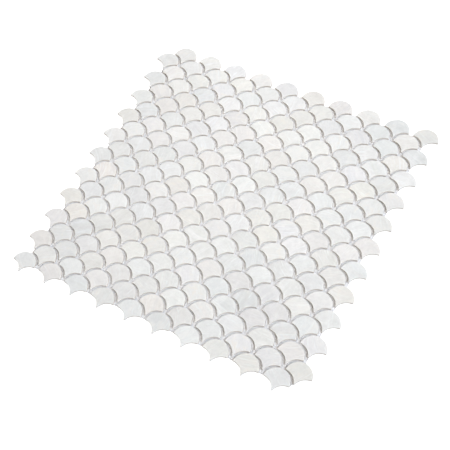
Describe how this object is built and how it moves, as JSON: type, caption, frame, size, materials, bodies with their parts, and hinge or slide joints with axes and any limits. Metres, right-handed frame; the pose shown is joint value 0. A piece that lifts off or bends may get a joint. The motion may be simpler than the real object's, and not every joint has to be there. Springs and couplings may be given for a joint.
{
  "type": "mosaic tile sheet",
  "caption": "Flat flexible mosaic sheet of fan-shaped mother-of-pearl tiles in staggered rows, glued to a fine fibre mesh for setting on a wall.",
  "frame": {"origin": "centre of the sheet's outline on its underside, the back of the mesh", "axes": "+Z out of the polished faces, +X along the rows, +Y towards the edge with the round tops"},
  "size_m": [0.2954, 0.2864, 0.0024],
  "materials": {
    "shell": "polished",
    "mesh": "matte"
  },
  "bodies": {
    "root": {"tile_row_01": "shell", "tile_row_02": "shell", "tile_row_03": "shell", "tile_row_04": "shell", "tile_row_05": "shell", "tile_row_06": "shell", "tile_row_07": "shell", "tile_row_08": "shell", "tile_row_09": "shell", "tile_row_10": "shell", "tile_row_11": "shell", "tile_row_12": "shell", "tile_row_13": "shell", "tile_row_14": "shell", "tile_row_15": "shell", "tile_row_16": "shell", "tile_row_17": "shell", "tile_row_18": "shell", "tile_row_19": "shell", "tile_row_20": "shell", "tile_row_21": "shell", "tile_row_22": "shell", "mesh_backing": "mesh"}
  },
  "joints": []
}
